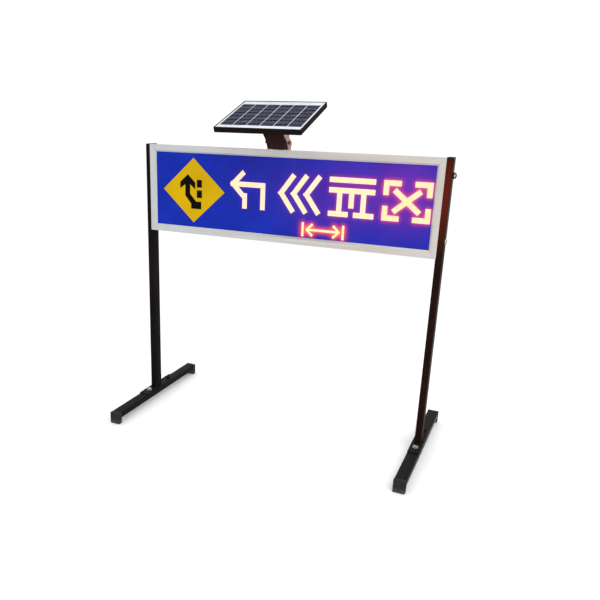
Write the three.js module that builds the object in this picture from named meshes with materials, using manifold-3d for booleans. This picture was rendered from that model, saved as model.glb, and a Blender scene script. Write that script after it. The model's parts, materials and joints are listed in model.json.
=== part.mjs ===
// Free-standing solar road-works sign: a framed LED message board carried between two
// T-shaped legs, with a tilting solar panel on top.
//
// Millimetres. +Z is up, +X runs to the right along the board, and the board faces -Y.
// The origin is on the ground, half way between the two legs.

import * as THREE from 'three';
import { mergeVertices } from 'three/addons/utils/BufferGeometryUtils.js';
import Module from 'manifold-3d';

const wasm = await Module();
wasm.setup();

// ---------------------------------------------------------------- driving dimensions

const GAP = 0.3; // clearance between pieces that touch

// Board
const BOARD_WIDTH = 1200;
const BOARD_HEIGHT = 356;
const BOARD_BOTTOM = 793; // above the ground
const BOARD_DEPTH = 54;
const LIP = 29; // width of the visible frame border
const LIP_OVERHANG = 3; // the border stands this far past the frame's web
const SHEET_FRONT = 6.5; // the face lies this far behind the front of the border
const SHEET_THICKNESS = 3;

// Legs
const POST = { width: 25, depth: 50, wall: 1.5 }; // rectangular tube, deeper than it is wide
const POST_RECESS = 4.5; // front of the post behind the front of the border
const FOOT_LENGTH = 674;
const FOOT_TUBE = { width: 45, height: 25, wall: 2 };
const BOOT = { width: 46, length: 20, height: 50 };
const BASE_PLATE = { width: 45, length: 260, thickness: 4, offset: 20 };
const SIDE_BOLT_SPREAD = 232; // height between the two bolts of one post

// Solar panel
const PANEL_WIDTH = 338;
const PANEL_LENGTH = 284;
const PANEL_THICKNESS = 20;
const PANEL_TILT = THREE.MathUtils.degToRad(19.6);
const PANEL_HEIGHT = 127; // panel face above the pivot, square to the panel
const PANEL_FORWARD = 49.9; // panel centre in front of the pivot, along the panel
const BRACKET_X = -37;
const PIVOT_HEIGHT = 25; // above the top of the board
const PIVOT_SETBACK = 33.5; // behind the front of the border

// Message
const GLYPH = { width: 176, height: 146, stroke: 20, pitch: 205.2, firstX: -138.5, z: 195 };
const DISTANCE_MARK = { x: 167, z: 62, width: 171, height: 55, stroke: 9 };
const DIAMOND = { x: -396, z: 178, halfWidth: 142, halfHeight: 130.5 };

// ------------------------------------------------------------------ derived positions

const BOARD_TOP = BOARD_BOTTOM + BOARD_HEIGHT;
const FRONT_Y = -(POST.depth / 2 + POST_RECESS); // front of the border
const BACK_Y = FRONT_Y + BOARD_DEPTH;
const WEB_X = BOARD_WIDTH / 2 - LIP_OVERHANG; // outer face of the frame's side web
const POST_X = WEB_X + GAP + POST.width / 2;
const BOARD_MID_Z = BOARD_BOTTOM + BOARD_HEIGHT / 2;
const BOLT_HEIGHTS = {
  upper: BOARD_MID_Z + SIDE_BOLT_SPREAD / 2,
  lower: BOARD_MID_Z - SIDE_BOLT_SPREAD / 2,
};
const SIDES = { left: -1, right: 1 };

// -------------------------------------------------------------------------- materials

const finishes = {
  blackPaint: { color: 0x141212, roughness: 0.42, metalness: 0.2 },
  blackPlastic: { color: 0x1b1c1c, roughness: 0.62, metalness: 0 },
  rubber: { color: 0x1e2122, roughness: 0.85, metalness: 0 },
  frameAluminium: { color: 0xc9cac6, roughness: 0.38, metalness: 0.55 },
  zinc: { color: 0xb9b5ac, roughness: 0.34, metalness: 0.9 },
  blueFilm: { color: 0x1a2fa4, roughness: 0.35, metalness: 0 },
  yellowFilm: { color: 0xe2b90a, roughness: 0.4, metalness: 0 },
  blackFilm: { color: 0x15130f, roughness: 0.45, metalness: 0 },
  ledLens: { color: 0xf6d6c4, roughness: 0.3, metalness: 0 },
  coverSheet: { color: 0xb9bcbb, roughness: 0.45, metalness: 0.6 },
  battery: { color: 0x23406f, roughness: 0.5, metalness: 0 },
  controller: { color: 0x2d6b48, roughness: 0.55, metalness: 0 },
  panelGlass: { color: 0x1d1f38, roughness: 0.18, metalness: 0.1 },
  panelFrame: { color: 0x1b1a18, roughness: 0.4, metalness: 0.5 },
  redPlastic: { color: 0xa81812, roughness: 0.4, metalness: 0 },
};

// -------------------------------------------------------------------- shape helpers

const circle = (cx, cy, radius, sides, turn = 0) =>
  Array.from({ length: sides }, (_, i) => {
    const angle = turn + (2 * Math.PI * i) / sides;
    return [cx + radius * Math.cos(angle), cy + radius * Math.sin(angle)];
  });

const rectangle = (x0, y0, x1, y1) => [[x0, y0], [x1, y0], [x1, y1], [x0, y1]];

// A rectangle about the origin whose corners are arcs.
function roundedRectangle(width, height, radius, steps = 3) {
  const points = [];
  const corners = [[1, -1], [1, 1], [-1, 1], [-1, -1]];
  corners.forEach(([sx, sy], corner) => {
    for (let i = 0; i <= steps; i += 1) {
      const angle = (corner - 1 + i / steps) * (Math.PI / 2);
      points.push([
        sx * (width / 2 - radius) + radius * Math.cos(angle),
        sy * (height / 2 - radius) + radius * Math.sin(angle),
      ]);
    }
  });
  return points;
}

function shapeOf(outline, holes = []) {
  const shape = new THREE.Shape(outline.map(([x, y]) => new THREE.Vector2(x, y)));
  for (const hole of holes) {
    shape.holes.push(new THREE.Path(hole.map(([x, y]) => new THREE.Vector2(x, y))));
  }
  return shape;
}

function prism(outline, length, holes) {
  return new THREE.ExtrudeGeometry(shapeOf(outline, holes), { depth: length, bevelEnabled: false });
}

// Prisms along each axis. Outlines are (y, z), (x, z) and (x, y) pairs.
const basis = (x, y, z) =>
  new THREE.Matrix4().makeBasis(new THREE.Vector3(...x), new THREE.Vector3(...y), new THREE.Vector3(...z));

const prismX = (outline, x0, x1, holes) =>
  prism(outline, x1 - x0, holes).applyMatrix4(basis([0, 1, 0], [0, 0, 1], [1, 0, 0])).translate(x0, 0, 0);

const prismY = (outline, y0, y1, holes) =>
  prism(outline, y1 - y0, holes).applyMatrix4(basis([1, 0, 0], [0, 0, 1], [0, -1, 0])).translate(0, y1, 0);

const prismZ = (outline, z0, z1, holes) => prism(outline, z1 - z0, holes).translate(0, 0, z0);

const block = (x0, x1, y0, y1, z0, z1) => prismZ(rectangle(x0, y0, x1, y1), z0, z1);

function toSolid(geometry) {
  const bare = geometry.clone();
  bare.deleteAttribute('normal');
  bare.deleteAttribute('uv');
  const merged = mergeVertices(bare, 1e-4);
  return new wasm.Manifold(new wasm.Mesh({
    numProp: 3,
    vertProperties: new Float32Array(merged.attributes.position.array),
    triVerts: new Uint32Array(merged.index.array),
  }));
}

function toGeometry(solid) {
  const mesh = solid.getMesh();
  const geometry = new THREE.BufferGeometry();
  geometry.setAttribute('position', new THREE.BufferAttribute(mesh.vertProperties, 3));
  geometry.setIndex(new THREE.BufferAttribute(mesh.triVerts, 1));
  return geometry;
}

const join = (...geometries) => toGeometry(geometries.map(toSolid).reduce((a, b) => a.add(b)));

const cut = (geometry, ...tools) =>
  toGeometry(tools.map(toSolid).reduce((solid, tool) => solid.subtract(tool), toSolid(geometry)));

function piece(parent, name, finish, geometry) {
  const mesh = new THREE.Mesh(geometry, new THREE.MeshStandardMaterial(finishes[finish]));
  mesh.name = name;
  parent.add(mesh);
  return mesh;
}

function groupAt(parent, x, y, z) {
  const group = new THREE.Group();
  group.position.set(x, y, z);
  parent.add(group);
  return group;
}

// ------------------------------------------------------------------------------ legs

const BOOT_TONGUE = 16; // how far a boot plugs into the foot tube
const SIDE_BOLT_HOLE = 4.3; // radius
const FOOT_BOLT_INSET = 48; // from each end of the base plate
const FOOT_BOLT = { shank: 5, hole: 5.4, head: 9.8, washer: 11, headHeight: 8 }; // radii
const FOOT_TOP = BOOT.height;
const PLATE_TOP = FOOT_TOP + GAP + BASE_PLATE.thickness;
const CAP_THICKNESS = 4;
const POST_BOTTOM = PLATE_TOP + GAP;
const POST_TOP = BOARD_TOP - CAP_THICKNESS - GAP;
const FOOT_BOLT_YS = {
  front: BASE_PLATE.offset - BASE_PLATE.length / 2 + FOOT_BOLT_INSET,
  rear: BASE_PLATE.offset + BASE_PLATE.length / 2 - FOOT_BOLT_INSET,
};

function postGeometry() {
  const { width, depth, wall } = POST;
  const bore = roundedRectangle(width - 2 * wall, depth - 2 * wall, 1);
  const tube = prismZ(roundedRectangle(width, depth, 2.5), POST_BOTTOM, POST_TOP, [bore]);
  const holes = Object.values(BOLT_HEIGHTS).map((z) =>
    prismX(circle(0, z, SIDE_BOLT_HOLE, 12), -width, width));
  return cut(tube, ...holes);
}

function postCapGeometry() {
  const { width, depth, wall } = POST;
  const play = 2 * (wall + GAP);
  const rim = prismZ(roundedRectangle(width, depth, 3), BOARD_TOP - CAP_THICKNESS, BOARD_TOP - 1);
  const crown = prismZ(roundedRectangle(width - 2, depth - 2, 2), BOARD_TOP - 1.5, BOARD_TOP);
  const stem = prismZ(
    roundedRectangle(width - play, depth - play, 1.5),
    BOARD_TOP - 20,
    BOARD_TOP - CAP_THICKNESS + 1,
  );
  return join(rim, crown, stem);
}

function basePlateGeometry() {
  const { width, length, offset } = BASE_PLATE;
  const plate = roundedRectangle(width, length, 4, 2).map(([x, y]) => [x, y + offset]);
  const holes = Object.values(FOOT_BOLT_YS).map((y) => circle(0, y, FOOT_BOLT.hole, 12));
  return prismZ(plate, FOOT_TOP + GAP, PLATE_TOP, holes);
}

function footTubeGeometry() {
  const { width, height, wall } = FOOT_TUBE;
  const half = FOOT_LENGTH / 2 - BOOT.length - GAP;
  const middle = FOOT_TOP - height / 2;
  const raise = ([x, z]) => [x, z + middle];
  const outer = roundedRectangle(width, height, 3).map(raise);
  const inner = roundedRectangle(width - 2 * wall, height - 2 * wall, 1.5, 2).map(raise);
  const tube = prismY(outer, -half, half, [inner]);
  const holes = Object.values(FOOT_BOLT_YS).map((y) =>
    prismZ(circle(0, y, FOOT_BOLT.hole, 12), FOOT_TOP - 8, FOOT_TOP + 1));
  return cut(tube, ...holes);
}

// A rubber boot: a block that stands on the ground at the end of the foot tube, with a
// tongue inside the tube. It is built for the front end and turned round for the rear.
function footBootGeometry(end) {
  const { width, height, wall } = FOOT_TUBE;
  const front = -FOOT_LENGTH / 2;
  const foot = prismY(
    roundedRectangle(BOOT.width, BOOT.height, 3, 2).map(([x, z]) => [x, z + BOOT.height / 2]),
    front,
    front + BOOT.length,
  );
  const play = 2 * (wall + GAP);
  const tongue = prismY(
    roundedRectangle(width - play, height - play, 1).map(([x, z]) => [x, z + FOOT_TOP - height / 2]),
    front + 1,
    front + BOOT.length + BOOT_TONGUE,
  );
  const boot = join(foot, tongue);
  return end === 'front' ? boot : boot.rotateZ(Math.PI);
}

// Hexagon bolt with a washer face, head up, its underside at height z.
function footBoltGeometry(y) {
  const seat = PLATE_TOP + GAP;
  const shankEnd = FOOT_TOP - FOOT_TUBE.height + FOOT_TUBE.wall + 1;
  const washer = prismZ(circle(0, y, FOOT_BOLT.washer, 20), seat, seat + 1.5);
  const head = prismZ(circle(0, y, FOOT_BOLT.head, 6, 0.3), seat + 1, seat + FOOT_BOLT.headHeight);
  const shank = prismZ(circle(0, y, FOOT_BOLT.shank, 12), shankEnd, seat + 1);
  return join(washer, head, shank);
}

function addLeg(parent, side) {
  const leg = groupAt(parent, SIDES[side] * POST_X, 0, 0);
  piece(leg, `post_${side}`, 'blackPaint', postGeometry());
  piece(leg, `post_cap_${side}`, 'blackPlastic', postCapGeometry());
  piece(leg, `base_plate_${side}`, 'blackPaint', basePlateGeometry());
  piece(leg, `foot_tube_${side}`, 'blackPaint', footTubeGeometry());
  for (const [end, y] of Object.entries(FOOT_BOLT_YS)) {
    piece(leg, `foot_boot_${side}_${end}`, 'rubber', footBootGeometry(end));
    const finish = end === 'front' ? 'zinc' : 'blackPaint'; // the rear bolts are painted over
    piece(leg, `foot_bolt_${side}_${end}`, finish, footBoltGeometry(y));
  }
}

// ------------------------------------------------------------------------ side bolts

// Both kinds of side bolt run through the post into a nut inside the frame. The origin is
// where the bolt's axis meets the post's outer face, and the shank points along -X.
const SHANK_RADIUS = 4;
const EYE = { wire: 4, reach: 13.5, half: 12, base: 1.5 };

const sideShank = () => prismX(circle(0, 0, SHANK_RADIUS, 12), -(POST.width + 2 * LIP_OVERHANG + 8), 1.5);

// Half an ellipse that bulges towards +X from a straight edge at x0, in (x, z).
function halfOval(x0, reach, half) {
  return Array.from({ length: 13 }, (_, i) => {
    const angle = -Math.PI / 2 + (Math.PI * i) / 12;
    return [x0 + reach * Math.cos(angle), half * Math.sin(angle)];
  });
}

// A D-shaped loop that a hand or a strap goes through, on a small collar.
function eyeBoltGeometry() {
  const { wire, reach, half, base } = EYE;
  const eyeStart = base + wire / 2;
  const eye = halfOval(eyeStart, reach - wire - eyeStart, half - wire);
  const loop = prismY(halfOval(base, reach - base, half), -wire / 2, wire / 2, [eye]);
  const collar = prismX(circle(0, 0, 6, 16), GAP, base + 1);
  return join(loop, collar, sideShank());
}

// A flanged hexagon head.
function sideBoltGeometry() {
  const flange = prismX(circle(0, 0, 9.5, 18), GAP, 2);
  const head = prismX(circle(0, 0, 8, 6), 1.5, 6);
  const dome = prismX(circle(0, 0, 6, 12), 5.5, 7);
  return join(flange, head, dome, sideShank());
}

function addSideBolts(parent) {
  const kinds = {
    upper: ['eye_bolt', eyeBoltGeometry],
    lower: ['side_bolt', sideBoltGeometry],
  };
  const nutSize = 7; // half width
  const nutDepth = 6;
  for (const [side, sign] of Object.entries(SIDES)) {
    for (const [level, z] of Object.entries(BOLT_HEIGHTS)) {
      const [name, geometry] = kinds[level];
      const place = groupAt(parent, sign * (POST_X + POST.width / 2), 0, z);
      place.rotation.y = side === 'right' ? 0 : Math.PI;
      piece(place, `${name}_${side}`, 'zinc', geometry());

      const near = sign * (WEB_X - 2 - GAP);
      const far = near - sign * nutDepth;
      const nut = prismX(
        rectangle(-nutSize, z - nutSize, nutSize, z + nutSize),
        Math.min(near, far),
        Math.max(near, far),
        [circle(0, z, SIDE_BOLT_HOLE, 12)],
      );
      piece(parent, `frame_nut_${side}_${level}`, 'zinc', nut);
    }
  }
}

// ----------------------------------------------------------------------------- frame

// Section of the frame profile: first number inwards from the board's edge, second
// backwards from its front. A bevelled border in front, a web and a return at the back.
const RAIL_SECTION = [
  [0, 0], [LIP - 6.5, 0], [LIP, 6], [LIP, 6.2], [LIP - 3, 6.2], [LIP - 7.3, 2.2], [5, 2.2],
  [5, BOARD_DEPTH - 2.2], [18, BOARD_DEPTH - 2.2], [18, BOARD_DEPTH], [3, BOARD_DEPTH], [3, 2.2], [0, 2.2],
];
const MITRE_GAP = 0.2; // each rail stops this far short of the mitre

// A mitred rail whose outer edge runs along +X from -length/2 to length/2 at z = 0, with
// the section going down (-Z) and back (+Y).
function railGeometry(length) {
  const rail = prismX(RAIL_SECTION.map(([inward, back]) => [back, -inward]), -length / 2, length / 2);
  const position = rail.attributes.position;
  for (let i = 0; i < position.count; i += 1) {
    const inward = -position.getZ(i) + MITRE_GAP;
    const x = position.getX(i);
    position.setX(i, x - Math.sign(x) * inward);
  }
  return rail;
}

function addFrame(parent) {
  const rails = {
    top: [BOARD_WIDTH, 0, BOARD_HEIGHT / 2, 0],
    bottom: [BOARD_WIDTH, 0, -BOARD_HEIGHT / 2, Math.PI],
    left: [BOARD_HEIGHT, -BOARD_WIDTH / 2, 0, -Math.PI / 2],
    right: [BOARD_HEIGHT, BOARD_WIDTH / 2, 0, Math.PI / 2],
  };
  for (const [edge, [length, x, z, turn]] of Object.entries(rails)) {
    let geometry = railGeometry(length).rotateY(turn).translate(x, FRONT_Y, BOARD_MID_Z + z);
    if (edge in SIDES) {
      const holes = Object.values(BOLT_HEIGHTS).map((height) =>
        prismX(circle(0, height, SIDE_BOLT_HOLE, 12), x - 10, x + 10));
      geometry = cut(geometry, ...holes);
    }
    if (edge === 'top') {
      geometry = cut(geometry, ...BRACKET_SCREW_XS.map((screwX) =>
        prismZ(circle(screwX, PIVOT_Y, 3.3, 12), BOARD_TOP - 6, BOARD_TOP + 1)));
    }
    piece(parent, `frame_rail_${edge}`, 'frameAluminium', geometry);
  }

  // Angle cleats that join the rails inside each corner.
  const arm = 45;
  const thick = 3;
  const inset = 5 + GAP;
  for (const [side, sx] of Object.entries(SIDES)) {
    for (const [level, sz] of [['top', 1], ['bottom', -1]]) {
      const x = (d) => sx * (BOARD_WIDTH / 2 - inset - d);
      const z = (d) => BOARD_MID_Z + sz * (BOARD_HEIGHT / 2 - inset - d);
      const angle = [[0, 0], [arm, 0], [arm, thick], [thick, thick], [thick, arm], [0, arm]];
      const outline = angle.map(([a, b]) => [x(a), z(b)]);
      piece(parent, `corner_cleat_${side}_${level}`, 'zinc', prismY(outline, FRONT_Y + 10, BACK_Y - 2.5));
    }
  }
}

// ------------------------------------------------------------------- face and message

const SHEET_Y = FRONT_Y + SHEET_FRONT;
const BOARD_PLATE_Y = SHEET_Y + SHEET_THICKNESS + GAP; // front of the LED circuit boards
const STRIP_PROUD = 1.1; // the light strips stand proud of the face
const STRIP_PLAY = 0.4; // clearance of a strip in its slot

// A straight stroke from a to b, widened by `play` on every side.
function stroke(a, b, width, play = 0) {
  const along = new THREE.Vector2(b[0] - a[0], b[1] - a[1]).normalize();
  const across = new THREE.Vector2(-along.y, along.x).multiplyScalar(width / 2 + play);
  const end = along.clone().multiplyScalar(width / 2 + play);
  return [
    [a[0] - end.x - across.x, a[1] - end.y - across.y],
    [b[0] + end.x - across.x, b[1] + end.y - across.y],
    [b[0] + end.x + across.x, b[1] + end.y + across.y],
    [a[0] - end.x + across.x, a[1] - end.y + across.y],
  ];
}

// Each sign of the message is a set of straight strokes through the middles of its light
// strips, about the middle of its field.
function messageSigns() {
  const { width, height, stroke: thick } = GLYPH;
  const right = width / 2 - thick / 2;
  const top = height / 2 - thick / 2;
  const mark = DISTANCE_MARK;
  const markRight = mark.width / 2 - mark.stroke / 2;
  const markTop = mark.height / 2 - mark.stroke / 2;
  const barb = 20;
  const signs = [
    { // arrow that turns off to the left, over a lane line
      strokes: [
        [[right - 26, -top], [right - 26, 22]],
        [[right - 26, 22], [-right, 22]],
        [[-right, 22], [-right + 41, top]],
        [[-right, 22], [-right + 41, -top + 44]],
        [[-26, -top], [-26, -22]],
      ],
    },
    { // three chevrons
      strokes: [0, 1, 2].flatMap((i) => {
        const tip = -right + 2 + i * 52;
        return [[[tip, 0], [tip + 46, top]], [[tip, 0], [tip + 46, -top]]];
      }),
    },
    { // road barrier: two boards over two legs with feet
      strokes: [
        [[-right, top], [right, top]],
        [[-right, top - 38], [right, top - 38]],
        [[-46, top - 38], [-46, -top]],
        [[46, top - 38], [46, -top]],
        [[-right, -top], [-20, -top]],
        [[20, -top], [right, -top]],
        [[0, top - 38], [0, -top + 34]],
      ],
    },
    { // closed lane: a cross between four corners
      strokes: [
        ...[[-1, -1], [1, -1], [1, 1], [-1, 1]].flatMap(([sx, sz]) => [
          [[sx * right, sz * top], [sx * (right - 44), sz * top]],
          [[sx * right, sz * top], [sx * right, sz * (top - 34)]],
        ]),
        [[-40, -33], [40, 33]],
        [[-40, 33], [40, -33]],
      ],
    },
  ].map((sign, i) => ({
    name: `led_module_${i + 1}`,
    x: GLYPH.firstX + i * GLYPH.pitch,
    z: BOARD_BOTTOM + GLYPH.z,
    width,
    height,
    thick,
    ...sign,
  }));
  signs.push({ // distance mark: a double arrow between two bars
    name: 'led_module_small',
    x: mark.x,
    z: BOARD_BOTTOM + mark.z,
    width: mark.width,
    height: mark.height,
    thick: mark.stroke,
    strokes: [
      [[-markRight, -markTop], [-markRight, markTop]],
      [[markRight, -markTop], [markRight, markTop]],
      [[-markRight + 17, 0], [markRight - 17, 0]],
      [[-markRight + 17, 0], [-markRight + 17 + barb, barb]],
      [[-markRight + 17, 0], [-markRight + 17 + barb, -barb]],
      [[markRight - 17, 0], [markRight - 17 - barb, barb]],
      [[markRight - 17, 0], [markRight - 17 - barb, -barb]],
    ],
  });
  return signs;
}

// The strokes of a sign as one solid between two depths.
function strokesSolid(sign, y0, y1, play) {
  return join(...sign.strokes.map(([a, b]) =>
    prismY(stroke(a, b, sign.thick, play).map(([x, z]) => [x + sign.x, z + sign.z]), y0, y1)));
}

function addMessage(parent) {
  const signs = messageSigns();
  const edge = 5 + GAP;
  const sheet = block(
    -BOARD_WIDTH / 2 + edge, BOARD_WIDTH / 2 - edge,
    SHEET_Y, SHEET_Y + SHEET_THICKNESS,
    BOARD_BOTTOM + edge, BOARD_TOP - edge,
  );
  const past = 5; // the cutters run this far past both faces of the sheet
  const slots = signs.map((sign) =>
    strokesSolid(sign, SHEET_Y - past, SHEET_Y + SHEET_THICKNESS + past, STRIP_PLAY));
  piece(parent, 'face_sheet', 'blueFilm', cut(sheet, ...slots));

  for (const sign of signs) {
    const margin = sign.thick / 4;
    const board = block(
      sign.x - sign.width / 2 - margin, sign.x + sign.width / 2 + margin,
      BOARD_PLATE_Y, BOARD_PLATE_Y + 1.6,
      sign.z - sign.height / 2 - margin, sign.z + sign.height / 2 + margin,
    );
    const strips = strokesSolid(sign, SHEET_Y - STRIP_PROUD, BOARD_PLATE_Y + 0.5, 0);
    piece(parent, sign.name, 'ledLens', join(board, strips));
  }
}

function addDiamond(parent) {
  const { x, halfWidth, halfHeight } = DIAMOND;
  const z = BOARD_BOTTOM + DIAMOND.z;
  const at = (outline) => outline.map(([a, b]) => [x + a, z + b]);
  const filmFront = SHEET_Y - GAP - 1;
  const inkBack = filmFront - GAP;
  const inkFront = inkBack - 0.8;
  const rhombus = at([[0, -halfHeight], [halfWidth, 0], [0, halfHeight], [-halfWidth, 0]]);
  piece(parent, 'diamond_plate', 'yellowFilm', prismY(rhombus, filmFront, SHEET_Y - GAP));

  // The lane that ends joins its neighbour: an arrow whose tail steps to the right.
  const arrow = at([
    [-26, 64], [-62, 32], [-62, 6], [-38, 24], [-38, -22], [-11, -54], [-11, -74], [36, -74], [36, -44],
    [12, -44], [-16, -14], [-16, 25], [8, 6], [8, 32],
  ]);
  const dash = (low) => at(rectangle(16, low, 39, low + 30));
  piece(parent, 'arrow_symbol', 'blackFilm', prismY(arrow, inkFront, inkBack));
  piece(parent, 'lane_dash_upper', 'blackFilm', prismY(dash(14), inkFront, inkBack));
  piece(parent, 'lane_dash_lower', 'blackFilm', prismY(dash(-28), inkFront, inkBack));
}

// --------------------------------------------------------------- back and electronics

const COVER_THICKNESS = 1.5;
const COVER_Y = BACK_Y + GAP;
const COVER_BACK = COVER_Y + COVER_THICKNESS;
const SWITCH = { x: 430, z: BOARD_BOTTOM + 70, width: 30, height: 24 };
const GLAND = { x: BRACKET_X, z: BOARD_TOP - 62 };

function addBackCover(parent) {
  const inset = 8;
  const cover = prismY(
    rectangle(-BOARD_WIDTH / 2 + inset, BOARD_BOTTOM + inset, BOARD_WIDTH / 2 - inset, BOARD_TOP - inset),
    COVER_Y,
    COVER_BACK,
    [
      rectangle(
        SWITCH.x - SWITCH.width / 2, SWITCH.z - SWITCH.height / 2,
        SWITCH.x + SWITCH.width / 2, SWITCH.z + SWITCH.height / 2,
      ),
      circle(GLAND.x, GLAND.z, 8.4, 16),
    ],
  );
  piece(parent, 'back_cover', 'coverSheet', cover);
}

// Battery held to the back cover by a folded strap.
function addBattery(parent) {
  const pack = { x0: -345, x1: -195, z0: BOARD_BOTTOM + 62, z1: BOARD_BOTTOM + 128 };
  const back = COVER_Y - 1.5;
  const front = back - 22.8;
  const wall = 1.2;
  piece(parent, 'battery_pack', 'battery', block(pack.x0, pack.x1, front, back, pack.z0, pack.z1));

  // Strap outline in (y, z): over the front of the pack and out onto the cover.
  const reach = 14;
  const tabBack = COVER_Y - GAP;
  const inner = { y: front - GAP, z0: pack.z0 - GAP, z1: pack.z1 + GAP };
  const outer = { y: inner.y - wall, z0: inner.z0 - wall, z1: inner.z1 + wall };
  const strap = [
    [tabBack, inner.z0], [inner.y, inner.z0], [inner.y, inner.z1], [tabBack, inner.z1],
    [tabBack, outer.z1 + reach], [tabBack - wall, outer.z1 + reach], [tabBack - wall, outer.z1],
    [outer.y, outer.z1], [outer.y, outer.z0],
    [tabBack - wall, outer.z0], [tabBack - wall, outer.z0 - reach], [tabBack, outer.z0 - reach],
  ];
  const middle = (pack.x0 + pack.x1) / 2;
  piece(parent, 'battery_strap', 'zinc', prismX(strap, middle - 20, middle + 20));
}

function addController(parent) {
  const x = 250;
  const z = BOARD_BOTTOM + 66;
  const back = COVER_Y - GAP;
  const body = block(x - 48, x + 48, back - 20, back, z - 32, z + 32);
  const terminals = block(x - 40, x + 40, back - 24, back - 19, z - 44, z - 30);
  piece(parent, 'charge_controller', 'controller', join(body, terminals));
}

// Rocker switch: a bezel outside the cover, a cup inside, and the rocker in the cup.
const ROCKER = { width: 15, reach: 9.5, pivotY: COVER_BACK + 0.5 };
const SWITCH_REST = THREE.MathUtils.degToRad(7); // the rocker rests in its off position

function addSwitch(parent) {
  const { x, z, width, height } = SWITCH;
  const bezel = prismY(
    roundedRectangle(width + 8, height + 8, 3, 2).map(([a, b]) => [a + x, b + z]),
    COVER_BACK + GAP,
    COVER_BACK + GAP + 2.2,
  );
  const cup = block(
    x - width / 2 + 0.5, x + width / 2 - 0.5,
    COVER_Y - 14, COVER_BACK + 1,
    z - height / 2 + 0.5, z + height / 2 - 0.5,
  );
  const well = { halfWidth: ROCKER.width / 2 + 0.6, halfHeight: ROCKER.reach + 0.9 };
  const hollow = block(
    x - well.halfWidth, x + well.halfWidth,
    COVER_Y - 10, COVER_BACK + 10,
    z - well.halfHeight, z + well.halfHeight,
  );
  piece(parent, 'switch_housing', 'blackPlastic', cut(join(bezel, cup), hollow));

  // Rocker profile in (y, z) about its pivot: a round belly and two sloping faces.
  const belly = [];
  for (let i = 0; i <= 8; i += 1) {
    const angle = Math.PI + (Math.PI * (i - 4)) / 9;
    belly.push([ROCKER.reach * 0.72 * Math.cos(angle), ROCKER.reach * 0.98 * Math.sin(angle)]);
  }
  const profile = [[2.6, -ROCKER.reach], [3.2, 0], [2.6, ROCKER.reach], ...belly];
  const rocker = groupAt(parent, x, ROCKER.pivotY, z);
  rocker.rotation.x = SWITCH_REST;
  piece(rocker, 'switch_rocker', 'redPlastic', prismX(profile, -ROCKER.width / 2, ROCKER.width / 2));
}

// Sealed cable entry in the back cover: threaded neck, hexagon and domed nut, bored through.
function addCableGland(parent) {
  const along = (radius, y0, y1, sides) => prismY(circle(GLAND.x, GLAND.z, radius, sides), y0, y1);
  const body = join(
    along(8, COVER_Y - 8, COVER_BACK + 1, 16),
    along(12, COVER_BACK + GAP, COVER_BACK + 6, 6),
    along(9.6, COVER_BACK + 5, COVER_BACK + 14, 16),
    along(7.2, COVER_BACK + 13, COVER_BACK + 18, 16),
  );
  piece(parent, 'cable_gland', 'blackPlastic', cut(body, along(3.4, COVER_Y - 20, COVER_BACK + 30, 12)));
}

// ------------------------------------------------------------------------ solar panel

const PIVOT_Y = FRONT_Y + PIVOT_SETBACK;
const PIVOT_Z = BOARD_TOP + PIVOT_HEIGHT;
const EAR_OUTER = 43; // half width over the lower bracket's ears
const EAR_THICKNESS = 3;
const ARM_OUTER = EAR_OUTER - EAR_THICKNESS - 0.5; // half width of the arm between them
const PIVOT_HOLE = 4.3; // radius
const RAIL = { width: 44, depth: 6, wall: 2 }; // channel across the back of the panel
const BRACKET_SCREW_XS = [BRACKET_X - 19, BRACKET_X + 19];

// The fixed half of the bracket: a plate on the top rail with an ear at each end and a low
// wall across the back. The ears lean forwards, up the sides of the arm.
function addLowerBracket(parent) {
  const group = groupAt(parent, BRACKET_X, PIVOT_Y, 0);
  const bottom = BOARD_TOP - LIP_OVERHANG + GAP; // on the top rail's web
  const front = -13;
  const back = 18;
  const plate = cut(
    block(-EAR_OUTER, EAR_OUTER, front, back, bottom, bottom + EAR_THICKNESS),
    ...BRACKET_SCREW_XS.map((x) => prismZ(circle(x - BRACKET_X, 0, 3.3, 12), bottom - 1, bottom + 10)),
  );
  const wall = block(-EAR_OUTER, EAR_OUTER, back - EAR_THICKNESS, back, bottom, PIVOT_Z - 13);
  const ear = [
    [front, bottom], [back, bottom], [back, PIVOT_Z - 21], [26, PIVOT_Z - 6], [27.5, PIVOT_Z - 1],
    [25, PIVOT_Z + 3], [-34, PIVOT_Z + 38], [-42, PIVOT_Z + 42], [-62, PIVOT_Z + 42],
    [-67, PIVOT_Z + 37], [-27, PIVOT_Z + 4], [front, PIVOT_Z - 20],
  ];
  const hole = [circle(0, PIVOT_Z, PIVOT_HOLE, 12)];
  const ears = [
    prismX(ear, -EAR_OUTER, -EAR_OUTER + EAR_THICKNESS, hole),
    prismX(ear, EAR_OUTER - EAR_THICKNESS, EAR_OUTER, hole),
  ];
  piece(group, 'bracket_lower', 'zinc', join(plate, wall, ...ears));

  BRACKET_SCREW_XS.forEach((x, i) => {
    const seat = bottom + EAR_THICKNESS + GAP;
    const screw = join(
      prismZ(circle(x, PIVOT_Y, 5.8, 6), seat, seat + 4),
      prismZ(circle(x, PIVOT_Y, 3, 10), BOARD_TOP - 14, seat + 1),
    );
    piece(parent, `bracket_screw_${i + 1}`, 'zinc', screw);
  });

  const shank = prismX(circle(0, PIVOT_Z, 4, 12), -EAR_OUTER - 11, EAR_OUTER + 1);
  const head = prismX(circle(0, PIVOT_Z, 7.4, 6), EAR_OUTER + GAP, EAR_OUTER + 6);
  piece(group, 'pivot_bolt', 'zinc', join(shank, head));
  const nutHole = circle(0, PIVOT_Z, PIVOT_HOLE, 12);
  const nut = prismX(circle(0, PIVOT_Z, 7.4, 6), -EAR_OUTER - 7, -EAR_OUTER - GAP, [nutHole]);
  piece(group, 'pivot_nut', 'zinc', nut);
}

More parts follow.
